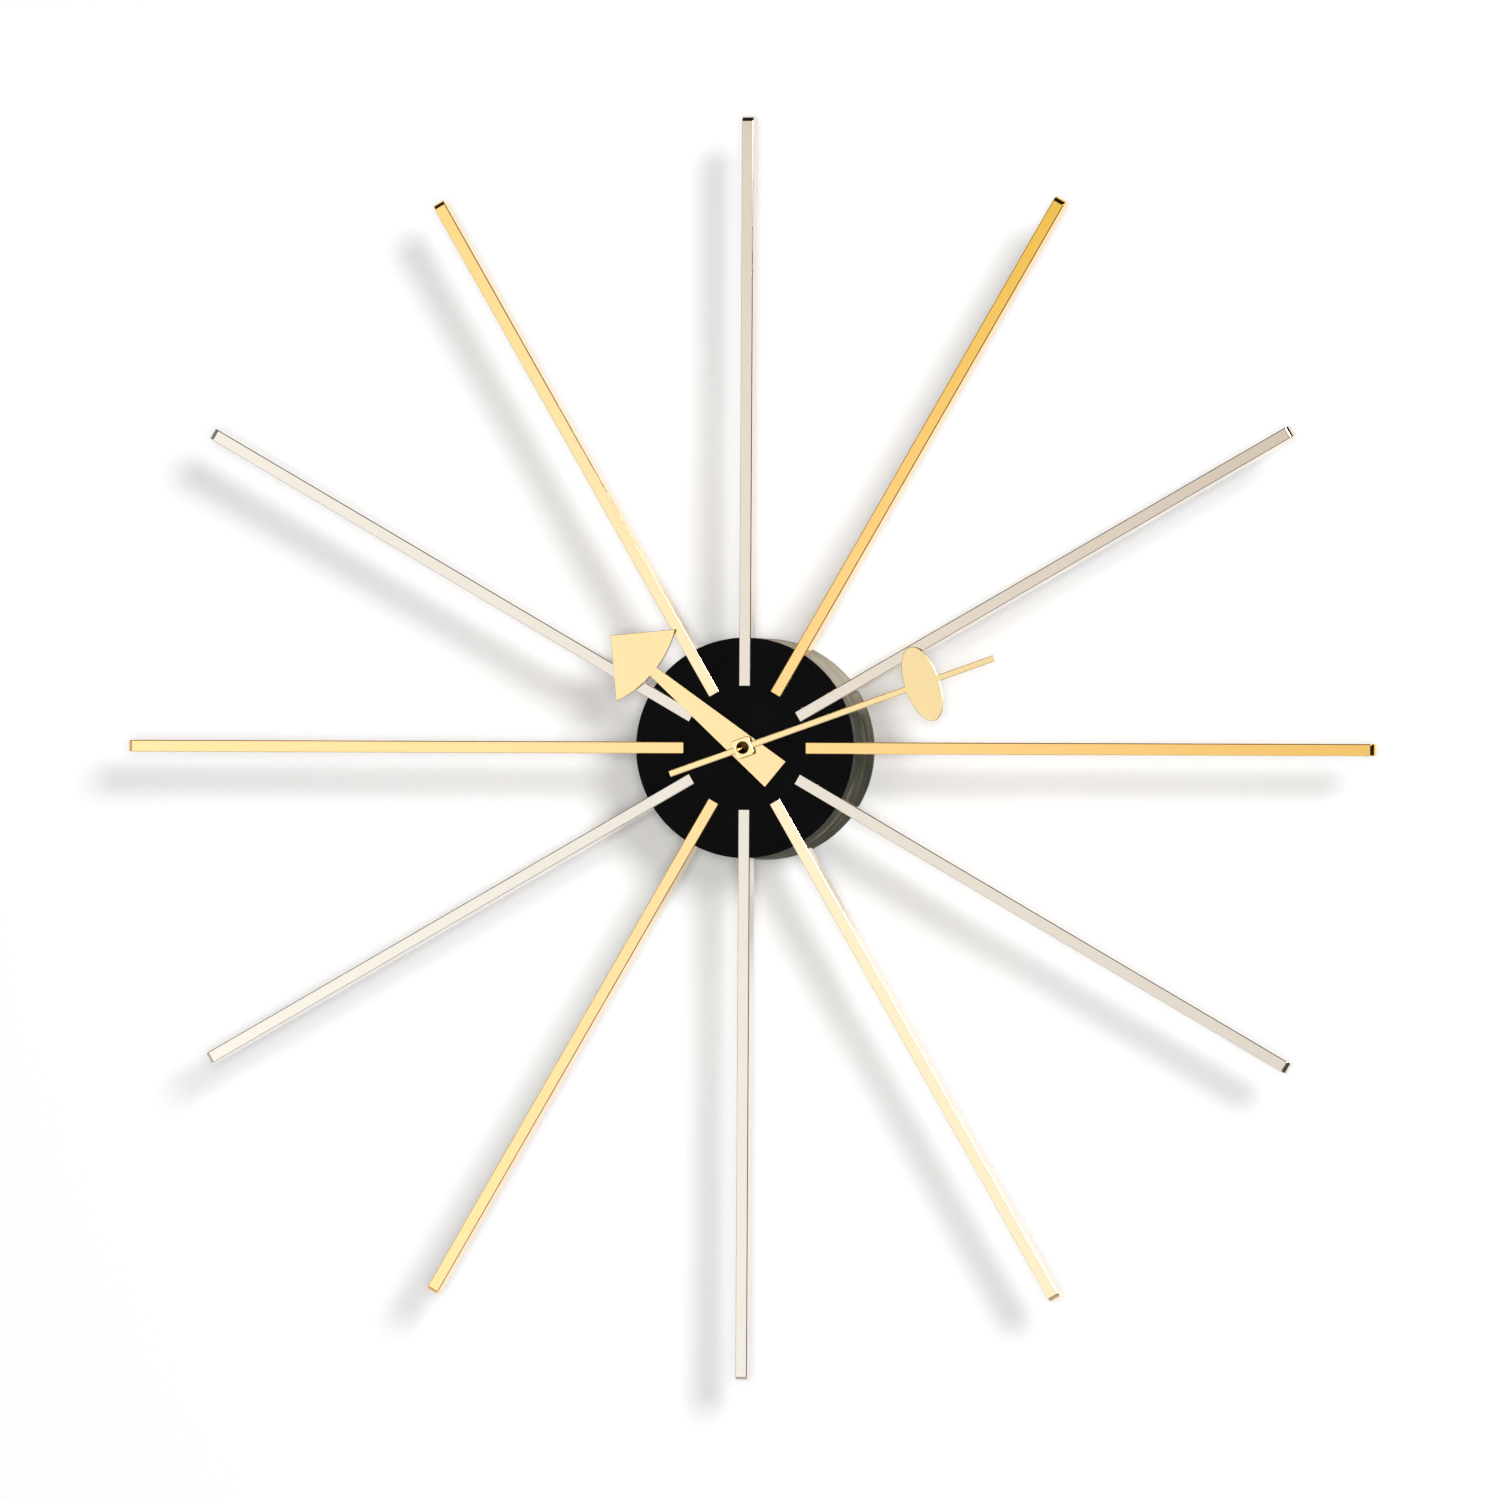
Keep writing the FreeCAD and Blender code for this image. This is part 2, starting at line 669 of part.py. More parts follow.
def centre_wheel():
    """Drives the minute arbor through friction, so it has a plain bore."""
    return centre_mesh()[0].cut(round_bar(ARBOR_R + RUNNING_PLAY, CENTRE_LAYER[0], CENTRE_LAYER[1]))


def minute_arbor():
    """The centre shaft, with the cannon pinion near its back and a thread for the hand nut."""
    shaft = round_bar(ARBOR_R, ARBOR_BACK_H, MINUTE_BACK_H)
    end = round_bar(ARBOR_END_R, MINUTE_BACK_H, ARBOR_END_H)
    return union([shaft, end, cannon_mesh()[1]])


def minute_wheel():
    """The side arbor: minute wheel, its pinion, and the shaft back to the setting knob."""
    shaft = round_bar(SIDE_ARBOR_R, KNOB_LAYER[0], HOUR_LAYER[1], side_place())
    return union([shaft, cannon_mesh()[0], hour_mesh()[1]])


def hour_wheel():
    """The hour wheel and the pipe that carries the hour hand."""
    pipe = round_bar(PIPE_R, HOUR_LAYER[0], PIPE_FRONT_H)
    body = union([hour_mesh()[0], pipe])
    return body.cut(round_bar(ARBOR_R + RUNNING_PLAY, HOUR_LAYER[0], PIPE_FRONT_H))


def setting_knob():
    """The thumb wheel at the back, with finger grips round its rim."""
    knob = round_bar(KNOB_R, KNOB_LAYER[0], KNOB_LAYER[1], side_place())
    grips = []
    for i in range(KNOB_GRIPS):
        place = polar(KNOB_R, 360.0 / KNOB_GRIPS * i, side_place())
        grips.append(round_bar(KNOB_GRIP_R, KNOB_LAYER[0], KNOB_LAYER[1], place))
    shaft_hole = round_bar(SIDE_ARBOR_R, KNOB_LAYER[0], KNOB_LAYER[1], side_place())
    return knob.cut(grips + [shaft_hole])


# Motor, electronics and battery

def coil_stator():
    """The laminated iron plate: a closed loop through the coil, bored for the rotor."""
    body = block(STATOR_X, STATOR_LAYER, STATOR_Z)
    window = block(STATOR_WINDOW_X, STATOR_LAYER, STATOR_WINDOW_Z)
    return body.cut([window, round_bar(ROTOR_HOLE_R, STATOR_LAYER[0], STATOR_LAYER[1], rotor_place())])


def drive_coil():
    """The winding round the stator's outer limb."""
    limb_x = (STATOR_WINDOW_X[1], STATOR_X[1])
    middle_z = sum(STATOR_WINDOW_Z) / 2
    span_z = (middle_z - COIL_LENGTH / 2, middle_z + COIL_LENGTH / 2)
    outer_x = (limb_x[0] - COIL_MARGIN, limb_x[1] + COIL_MARGIN)
    outer_h = (STATOR_LAYER[0] - COIL_MARGIN / 2, STATOR_LAYER[1] + COIL_MARGIN / 2)
    return block(outer_x, outer_h, span_z).cut(block(limb_x, STATOR_LAYER, span_z))


def circuit_board():
    return block(BOARD_X, BOARD_LAYER, BOARD_Z)


def clock_chip():
    """The moulded blob over the driver chip, on the circuit board."""
    centre = (sum(BOARD_X) / 2, CHIP_Z)
    return round_bar(CHIP_R, BOARD_LAYER[1], BOARD_LAYER[1] + CHIP_THICKNESS, centre)


def quartz_crystal():
    """The small metal can of the crystal, lying on the board."""
    start = point(sum(BOARD_X) / 2, BOARD_LAYER[1] + CRYSTAL_R, CRYSTAL_Z)
    return Part.makeCylinder(CRYSTAL_R, CRYSTAL_LENGTH, start, UP)


def battery():
    body = Part.makeCylinder(CELL_R, CELL_BODY_LENGTH, point(CELL_LEFT_X, CELL_H, CELL_Z), RIGHT)
    body = body.makeFillet(CELL_EDGE_R, [e for e in body.Edges if e.Closed])
    nub_x = CELL_LEFT_X + CELL_BODY_LENGTH
    nub = Part.makeCylinder(CELL_NUB_R, CELL_NUB_LENGTH, point(nub_x, CELL_H, CELL_Z), RIGHT)
    return body.fuse(nub)


def contact_at(x_near, x_far):
    """A sprung strip standing across one end of the battery bay."""
    h_range = (CELL_H - CONTACT_HALF_DEPTH, CELL_H + CONTACT_HALF_DEPTH)
    return block((x_near, x_far), h_range, (CELL_Z - CONTACT_HALF_HEIGHT, CELL_Z + CONTACT_HALF_HEIGHT))


def battery_contact_positive():
    x_near = CELL_LEFT_X + CELL_BODY_LENGTH + CELL_NUB_LENGTH
    wall = MOVEMENT_HALF - MOVEMENT_WALL
    strip = contact_at(wall - CONTACT_THICKNESS, wall)
    dimple = Part.makeCylinder(CONTACT_DIMPLE_R, wall - x_near, point(x_near, CELL_H, CELL_Z), RIGHT)
    return union([strip, dimple])


def battery_contact_negative():
    """A strip with a conical spring, drawn as the cone that its coils fill."""
    wall = -(MOVEMENT_HALF - MOVEMENT_WALL)
    strip = contact_at(wall, wall + CONTACT_THICKNESS)
    reach = CELL_LEFT_X - wall - CONTACT_THICKNESS
    start = point(wall + CONTACT_THICKNESS, CELL_H, CELL_Z)
    spring = Part.makeCone(SPRING_WIDE_R, SPRING_NARROW_R, reach, start, RIGHT)
    return union([strip, spring])


# Hands

def hour_hand():
    """One flat sheet: a tapered stem that widens to a square tail, and a large barbed head."""
    head_z = HOUR_CORNER_R - HOUR_HEAD_HALF
    corner = point(0.0, HOUR_BACK_H, HOUR_CORNER_R)
    right = point(HOUR_HEAD_HALF, HOUR_BACK_H, head_z)
    left = point(-HOUR_HEAD_HALF, HOUR_BACK_H, head_z)
    inner = point(0.0, HOUR_BACK_H, head_z - HOUR_HEAD_BULGE)
    barb = Part.Arc(right, inner, left).toShape()
    head_edges = [Part.makeLine(corner, right), barb, Part.makeLine(left, corner)]
    front = HOUR_BACK_H + HAND_THICKNESS
    head = plate(head_edges, HAND_THICKNESS)
    stem = polygon_plate([
        (-HOUR_STEM_HALF, head_z),
        (HOUR_STEM_HALF, head_z),
        (HOUR_TAIL_HALF, -HOUR_TAIL),
        (-HOUR_TAIL_HALF, -HOUR_TAIL),
    ], HOUR_BACK_H, front)
    hand = union([head, stem])
    hand = hand.makeFillet(HOUR_ROUNDING, [e for e in hand.Edges if lies_at(e, front)])
    return turned(hand.cut(round_bar(PIPE_R, HOUR_BACK_H, front)), HOUR_ANGLE)


def hour_hand_collet():
    """The turned collar that grips the pipe behind the hour hand."""
    return ring(COLLET_R, PIPE_R, HOUR_BACK_H - COLLET_LENGTH, HOUR_BACK_H)


def oval_plate():
    centre = point(0.0, MINUTE_BACK_H, OVAL_CENTRE)
    along = point(0.0, MINUTE_BACK_H, OVAL_CENTRE + OVAL_HALF_ALONG)
    across = point(OVAL_HALF_ACROSS, MINUTE_BACK_H, OVAL_CENTRE)
    return plate([Part.Ellipse(across, along, centre).toShape()], HAND_THICKNESS)


def minute_hand():
    """A slim bevelled bar through an oval disc set across it."""
    front = MINUTE_BACK_H + HAND_THICKNESS
    bar = block((-MINUTE_HALF, MINUTE_HALF), (MINUTE_BACK_H, front), (-MINUTE_TAIL, MINUTE_TIP))
    length = MINUTE_TIP + MINUTE_TAIL
    long_front = [e for e in bar.Edges if abs(e.Length - length) < 1e-6 and lies_at(e, front)]
    bar = bar.makeChamfer(MINUTE_BEVEL, long_front)
    oval = oval_plate()
    rim = [e for e in oval.Edges if e.Closed and lies_at(e, front)]
    oval = oval.makeFillet(OVAL_ROUNDING, rim)
    hand = bar.fuse(oval).cut(round_bar(ARBOR_END_R, MINUTE_BACK_H, front))
    return turned(hand, MINUTE_ANGLE)


def boss_back():
    return MINUTE_BACK_H + HAND_THICKNESS


def minute_hand_boss():
    """The square collar with rounded corners round the hand nut."""
    span = (-BOSS_HALF, BOSS_HALF)
    front = boss_back() + BOSS_THICKNESS
    body = rounded_block(span, (boss_back(), front), span, BOSS_CORNER_R)
    body = body.makeFillet(BOSS_ROUNDING, [e for e in body.Edges if lies_at(e, front)])
    return turned(body.cut(round_bar(BOSS_HOLE_R, boss_back(), front)), MINUTE_ANGLE)


def hand_nut():
    """The round cap nut that clamps the minute hand, sunk in the boss, with a turned dish in its front."""
    front = boss_back() + HAND_NUT_THICKNESS
    nut = round_bar(HAND_NUT_R, boss_back(), front)
    bottom = point(0.0, front - NUT_DISH_DEPTH, 0.0)
    dish = Part.makeCone(0.0, NUT_DISH_R, NUT_DISH_DEPTH, bottom, FRONT)
    return nut.cut([dish, round_bar(ARBOR_END_R, boss_back(), ARBOR_END_H)])


def bar_nodes():
    """The bars clockwise from twelve o'clock, each with its hour in its name."""
    bar = ray_bar()
    nodes = {}
    for i in range(BAR_COUNT):
        hour = i if i else BAR_COUNT
        nodes[f"ray_bar_{hour}_oclock"] = turned(bar, 360.0 / BAR_COUNT * i)
    return nodes


def all_nodes():
    nodes = bar_nodes()
    makers = [
        front_disc, bar_carrier, hub_case, back_plate, back_standoffs,
        bar_screws, disc_screws, standoff_front_screws, back_plate_screws,
        movement_front_case, movement_rear_case, movement_gasket, movement_washer, movement_nut,
        battery, battery_contact_positive, battery_contact_negative,
        circuit_board, clock_chip, quartz_crystal, drive_coil, coil_stator,
        rotor, rotor_magnet, relay_wheel, seconds_wheel, third_wheel, centre_wheel,
        minute_arbor, minute_wheel, setting_knob, hour_wheel,
        hour_hand, hour_hand_collet, minute_hand, minute_hand_boss, hand_nut,
    ]
    for make in makers:
        nodes[make.__name__] = make()
    return nodes


os.makedirs("parts", exist_ok=True)
for name, shape in all_nodes().items():
    shape.exportStep(f"parts/{name}.step")
    print(name, len(shape.Solids), shape.isValid(), round(shape.Volume, 2))
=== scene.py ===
import math

import bpy
from mathutils import Matrix, Vector


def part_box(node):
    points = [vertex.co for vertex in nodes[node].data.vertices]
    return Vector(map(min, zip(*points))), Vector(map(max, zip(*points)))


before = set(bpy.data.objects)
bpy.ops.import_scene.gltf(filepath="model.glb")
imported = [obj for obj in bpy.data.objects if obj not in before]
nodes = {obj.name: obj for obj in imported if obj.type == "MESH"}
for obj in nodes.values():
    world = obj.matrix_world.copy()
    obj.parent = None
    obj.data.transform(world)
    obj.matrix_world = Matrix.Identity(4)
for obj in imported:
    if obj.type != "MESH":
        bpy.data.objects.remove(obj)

# Looks for a sunburst wall clock: every CAD part keeps its shape and gets a node material.
# Metres, +Z up, the wall in the plane y = 0 and the dial towards -Y.

# Camera, round the hub's axis: to the right of the dial and a touch below it
CAMERA_AZIMUTH = 9.55
CAMERA_ELEVATION = -0.60
CAMERA_ROLL = 0.31
CAMERA_DISTANCE = 4.479
CAMERA_TARGET = Vector((-0.0077, 0.0, -0.0004))
CAMERA_LENS = 219.8
CAMERA_SENSOR = 36.0
CAMERA_CLIP = (0.1, 100.0)

# Studio
WALL_HALF = 4.0
WALL_SIDES = 64
WALL_HOLE_R = 0.050
WALL_GAP = 0.0003
WALL_WHITE = 0.90
KEY_DIRECTION = Vector((0.48, -1.0, 0.285))
KEY_DISTANCE = 6.0
KEY_SIZE = 1.7
KEY_POWER = 208.0
FILL_POWER = 84.0
FILL_SIZE = 0.8
BACK_PLACE = Vector((-1.2, 3.0, 1.4))
BACK_POWER = 80.0
BACK_SIZE = 1.5
CARD_Y = -7.0
CARD_X = (-5.0, -0.1)
CARD_Z = (-4.5, 1.0)
CARD_UPHILL = (0.9, 0.0, 0.44)
CARD_SPAN = (-1.8, -0.2)
CARD_BRIGHT = 1.35
CARD_DIM = 0.93
WORLD_LIGHT = 0.12
WORLD_BACKDROP = 0.92
ROOM_UPHILL = (0.6, 0.0, 0.8)
ROOM_SPAN = (-0.6, 0.2)
ROOM_BRIGHT = 0.55
ROOM_DARK = 0.02

# Metal colours, linear
NICKEL = (0.74, 0.69, 0.615)
# Painted reflection: the next colour is the nickel bars' deeper tone towards the upper right.
NICKEL_PAINTED_DEEP = (0.71, 0.60, 0.48)
BRASS = (0.95, 0.65, 0.31)
# Painted reflection: a paler brass for the bars at 5 and 11 o'clock, then the deeper brass that every brass
# bar turns to towards the upper right.
BRASS_PAINTED_PALE = (0.98, 0.78, 0.52)
BRASS_PAINTED_DEEP = (0.92, 0.55, 0.09)
HAND_GOLD = (0.99, 0.77, 0.40)
CASE_DARK = (0.085, 0.088, 0.076)
CASE_EDGE = (0.40, 0.39, 0.35)
# Painted highlight: the next colour is the case's light tone at its upper right.
CASE_PAINTED_HIGHLIGHT = (0.60, 0.55, 0.45)
DARK_BRONZE = (0.10, 0.055, 0.015)
CARRIER_ALLOY = (0.60, 0.60, 0.62)
TURNED_BRASS = (0.80, 0.58, 0.26)
SCREW_STEEL = (0.55, 0.55, 0.57)
CONTACT_STEEL = (0.70, 0.70, 0.71)
STATOR_IRON = (0.40, 0.40, 0.42)

# Paint, plastic, film and wire colours, linear
LACQUER_DARK = (0.0020, 0.0020, 0.0020)
LACQUER_LIGHT = (0.0032, 0.0032, 0.0032)
PLATE_DARK = (0.034, 0.034, 0.036)
PLATE_LIGHT = (0.050, 0.050, 0.052)
MOVEMENT_BLACK = (0.030, 0.030, 0.032)
CHIP_BLACK = (0.015, 0.015, 0.016)
GASKET_BLACK = (0.020, 0.020, 0.020)
KNOB_CREAM = (0.72, 0.70, 0.64)
GEAR_CREAM = (0.80, 0.78, 0.70)
SLEEVE_BLACK = (0.020, 0.020, 0.022)
SLEEVE_COPPER = (0.62, 0.30, 0.11)
WIRE_DARK = (0.34, 0.11, 0.04)
WIRE_LIGHT = (0.66, 0.26, 0.10)
BOARD_DARK = (0.015, 0.13, 0.055)
BOARD_LIGHT = (0.04, 0.25, 0.10)

# Where the painted reflection on the bars and the painted highlight on the case change the metals' colour:
# a distance in metres along a direction in the clock's plane
BAR_REFLECTION_UPHILL = (0.6, 0.0, 0.8)
BAR_REFLECTION_SPAN = (-0.05, 0.30)
# Painted reflection: the span and the hours for the bars that start from the paler brass.
PALE_REFLECTION_SPAN = (0.0, 0.17)
PALE_REFLECTION_HOURS = (5, 11)
# Painted highlight: where the case's colour turns light towards its upper right.
CASE_HIGHLIGHT_UPHILL = (0.62, 0.0, 0.79)
CASE_HIGHLIGHT_SPAN = (0.0445, 0.0510)

# Pattern scales along x, y and z, per metre
HAIR_LINES = (2600.0, 2600.0, 14.0)
GIRTH_LINES = (9.0, 900.0, 9.0)
GIRTH_BANDS = (30.0, 90.0, 30.0)

# The cell's copper band: where it starts, as a share of the cell's length, and its soft edge
BAND_START = 0.70
BAND_EDGE = 0.0003

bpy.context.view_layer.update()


# Material building blocks

class Surface:
    """A principled material with its nodes added one by one."""

    def __init__(self, name, colour, roughness, metallic=0.0):
        self.material = bpy.data.materials.new(name)
        self.material.use_nodes = True
        self.tree = self.material.node_tree
        self.shader = self.tree.nodes["Principled BSDF"]
        self.shader.inputs["Base Color"].default_value = (*colour, 1.0)
        self.shader.inputs["Roughness"].default_value = roughness
        self.shader.inputs["Metallic"].default_value = metallic
        self.place = self.add("ShaderNodeTexCoord").outputs["Object"]

    def add(self, kind, **inputs):
        node = self.tree.nodes.new(kind)
        for key, value in inputs.items():
            self.feed(node.inputs[key.replace("_", " ")], value)
        return node

    def feed(self, socket, value):
        if isinstance(value, bpy.types.NodeSocket):
            self.tree.links.new(value, socket)
        else:
            socket.default_value = value

    def stretched(self, scale, turn=0.0):
        """Coordinates turned about the hub's axis, then scaled along x, y, z."""
        turned = self.add("ShaderNodeMapping", Vector=self.place, Rotation=(0.0, turn, 0.0))
        return self.add("ShaderNodeMapping", Vector=turned.outputs["Vector"], Scale=scale).outputs["Vector"]

    def noise(self, scale, detail=4.0, vector=None):
        source = self.place if vector is None else vector
        return self.add("ShaderNodeTexNoise", Vector=source, Scale=scale, Detail=detail).outputs["Fac"]

    def spread(self, factor, low, high, from_low=0.3, from_high=0.7):
        """A noise value mapped to a number between low and high."""
        node = self.add("ShaderNodeMapRange", Value=factor, From_Min=from_low, From_Max=from_high,
                        To_Min=low, To_Max=high)
        return node.outputs["Result"]

    def blend(self, factor, first, second):
        node = self.add("ShaderNodeMix", Factor=factor)
        node.data_type = "RGBA"
        self.feed(node.inputs[6], (*first, 1.0))
        self.feed(node.inputs[7], (*second, 1.0))
        return node.outputs[2]

    def colour(self, factor, first, second):
        self.feed(self.shader.inputs["Base Color"], self.blend(factor, first, second))

    def roughness(self, factor, low, high):
        self.feed(self.shader.inputs["Roughness"], self.spread(factor, low, high))

    def along(self, direction, span):
        """0 to 1 over a span of distances along a direction from the hub's centre."""
        way = self.add("ShaderNodeVectorMath")
        way.operation = "DOT_PRODUCT"
        self.feed(way.inputs[0], self.place)
        self.feed(way.inputs[1], direction)
        return self.spread(way.outputs["Value"], 0.0, 1.0, from_low=span[0], from_high=span[1])

    def bump(self, height, strength, distance):
        node = self.add("ShaderNodeBump", Height=height, Strength=strength, Distance=distance)
        self.feed(self.shader.inputs["Normal"], node.outputs["Normal"])


def shade(colour, amount):
    return tuple(min(1.0, part * amount) for part in colour)


def paint(surface, *names):
    """Puts a surface on CAD nodes."""
    for name in names:
        slots = nodes[name].material_slots
        for place in slots:
            place.material = surface.material


# The dial side

def bar_metal(name, colour, painted_deep_colour, hour, span=BAR_REFLECTION_SPAN):
    """Polished bar stock with fine hair lines along the bar; its colour is painted deeper towards the upper
    right, a painted reflection.
    """
    surface = Surface(name, colour, 0.07, metallic=1.0)
    angle = math.radians(30.0 * hour)
    lines = surface.noise(1.0, detail=3.0, vector=surface.stretched(HAIR_LINES, angle))
    haze = surface.noise(26.0, detail=5.0)
    # Painted reflection: the colour turns from the given colour to a deeper one towards the upper right.
    surface.colour(surface.along(BAR_REFLECTION_UPHILL, span), colour, painted_deep_colour)
    surface.roughness(haze, 0.04, 0.09)
    surface.bump(lines, 0.04, 0.00002)
    return surface


def hand_metal(name, roughness):
    """Gold anodised sheet: an even satin finish with very fine grain."""
    surface = Surface(name, HAND_GOLD, roughness, metallic=1.0)
    grain = surface.noise(2500.0, detail=2.0)
    tone = surface.noise(12.0)
    surface.colour(surface.spread(tone, 0.0, 1.0), shade(HAND_GOLD, 0.98), HAND_GOLD)
    surface.roughness(tone, roughness * 0.9, roughness * 1.1)
    surface.bump(grain, 0.02, 0.00001)
    return surface


def ring_brushed(surface, amount):
    """Brush lines round the hub's axis, so highlights spread across them."""
    surface.shader.inputs["Anisotropic"].default_value = amount
    surface.shader.inputs["Anisotropic Rotation"].default_value = 0.25
    tangent = surface.add("ShaderNodeTangent")
    tangent.direction_type = "RADIAL"
    tangent.axis = "Y"
    surface.feed(surface.shader.inputs["Tangent"], tangent.outputs["Tangent"])


def case_metal():
    """A spun can brushed round its girth, dark, with a painted highlight at its upper right."""
    surface = Surface("case_nickel", CASE_DARK, 0.40, metallic=1.0)
    ring_brushed(surface, 0.80)
    surface.shader.inputs["Specular Tint"].default_value = (*CASE_EDGE, 1.0)
    girth = surface.noise(1.0, detail=4.0, vector=surface.stretched(GIRTH_LINES))
    bands = surface.noise(1.0, detail=3.0, vector=surface.stretched(GIRTH_BANDS))
    shift = surface.spread(bands, -0.35, 0.35)
    # Painted highlight: the colour turns from dark to light towards the upper right, its edge wavering with
    # the girth bands.
    light = surface.add("ShaderNodeMath", Value=surface.along(CASE_HIGHLIGHT_UPHILL, CASE_HIGHLIGHT_SPAN))
    light.use_clamp = True
    surface.feed(light.inputs[1], shift)
    surface.colour(light.outputs["Value"], CASE_DARK, CASE_PAINTED_HIGHLIGHT)
    surface.roughness(girth, 0.34, 0.46)
    surface.bump(girth, 0.22, 0.00003)
    return surface


def black_lacquer():
    """Satin black paint with a slight orange peel."""
    surface = Surface("black_lacquer", (0.003, 0.003, 0.003), 0.45)
    surface.shader.inputs["Specular IOR Level"].default_value = 0.03
    peel = surface.noise(700.0, detail=2.0)
    tone = surface.noise(60.0)
    surface.colour(surface.spread(tone, 0.0, 1.0), LACQUER_DARK, LACQUER_LIGHT)
    surface.roughness(tone, 0.40, 0.50)
    surface.bump(peel, 0.08, 0.00004)
    return surface


def turned_nut():
    """Darkened bronze with lathe rings round the shaft."""
    surface = Surface("turned_nut", DARK_BRONZE, 0.16, metallic=1.0)
    ring_brushed(surface, 0.70)
    rings = surface.add("ShaderNodeTexWave", Vector=surface.place, Scale=1500.0, Distortion=0.3)
    rings.wave_type = "RINGS"
    rings.rings_direction = "Y"
    surface.colour(rings.outputs["Fac"], shade(DARK_BRONZE, 0.7), DARK_BRONZE)
    surface.bump(rings.outputs["Fac"], 0.10, 0.00001)
    return surface


# The back and the inside

def plain_metal(name, colour, roughness, lines=(600.0, 600.0, 600.0)):
    """Machined or plated metal with fine directional marks."""
    surface = Surface(name, colour, roughness, metallic=1.0)
    marks = surface.noise(1.0, detail=4.0, vector=surface.stretched(lines))
    tone = surface.noise(70.0)
    surface.colour(surface.spread(tone, 0.0, 1.0), shade(colour, 0.86), colour)
    surface.roughness(marks, roughness * 0.8, roughness * 1.3)
    surface.bump(marks, 0.12, 0.00003)
    return surface


def moulded(name, colour, roughness, grain=1400.0):
    """Moulded plastic or rubber with a fine spark-eroded grain."""
    surface = Surface(name, colour, roughness)
    texture = surface.noise(grain, detail=2.0)
    tone = surface.noise(50.0)
    surface.colour(surface.spread(tone, 0.0, 1.0), shade(colour, 0.90), shade(colour, 1.06))
    surface.roughness(texture, roughness * 0.9, min(1.0, roughness * 1.15))
    surface.bump(texture, 0.18, 0.00003)
    return surface


def powder_coat():
    """The back plate's textured dark coating."""
    surface = Surface("plate_coat", (0.040, 0.040, 0.042), 0.55)
    texture = surface.noise(1100.0, detail=3.0)
    tone = surface.noise(30.0)
    surface.colour(surface.spread(tone, 0.0, 1.0), PLATE_DARK, PLATE_LIGHT)
    surface.roughness(texture, 0.48, 0.66)
    surface.bump(texture, 0.35, 0.00006)
    return surface


def banded_sleeve():
    """The cell's printed film: a dark body with a copper band at its positive end."""
    surface = Surface("battery_sleeve", (0.02, 0.02, 0.022), 0.22)
    low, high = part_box("battery")
    split = surface.add("ShaderNodeSeparateXYZ", Vector=surface.place).outputs["X"]
    edge = low.x + BAND_START * (high.x - low.x)
    band = surface.spread(split, 0.0, 1.0, from_low=edge, from_high=edge + BAND_EDGE)
    surface.colour(band, SLEEVE_BLACK, SLEEVE_COPPER)
    film = surface.noise(90.0)
    surface.roughness(film, 0.16, 0.30)
    return surface


def wound_wire():
    """Enamelled copper wire, wound in layers round the coil."""
    surface = Surface("coil_copper", (0.60, 0.22, 0.08), 0.30, metallic=0.8)
    turns = surface.add("ShaderNodeTexWave", Vector=surface.place, Scale=900.0, Distortion=0.6)
    turns.bands_direction = "Z"
    surface.colour(turns.outputs["Fac"], WIRE_DARK, WIRE_LIGHT)
    surface.bump(turns.outputs["Fac"], 0.6, 0.00010)
    return surface


def solder_mask():
    """A green board with paler copper tracks under the mask."""
    surface = Surface("board_green", (0.02, 0.16, 0.07), 0.35)
    tracks = surface.add("ShaderNodeTexBrick", Vector=surface.stretched((90.0, 90.0, 90.0)), Scale=2.0)
    surface.colour(tracks.outputs["Fac"], BOARD_DARK, BOARD_LIGHT)
    surface.bump(tracks.outputs["Fac"], 0.3, 0.00003)
    return surface


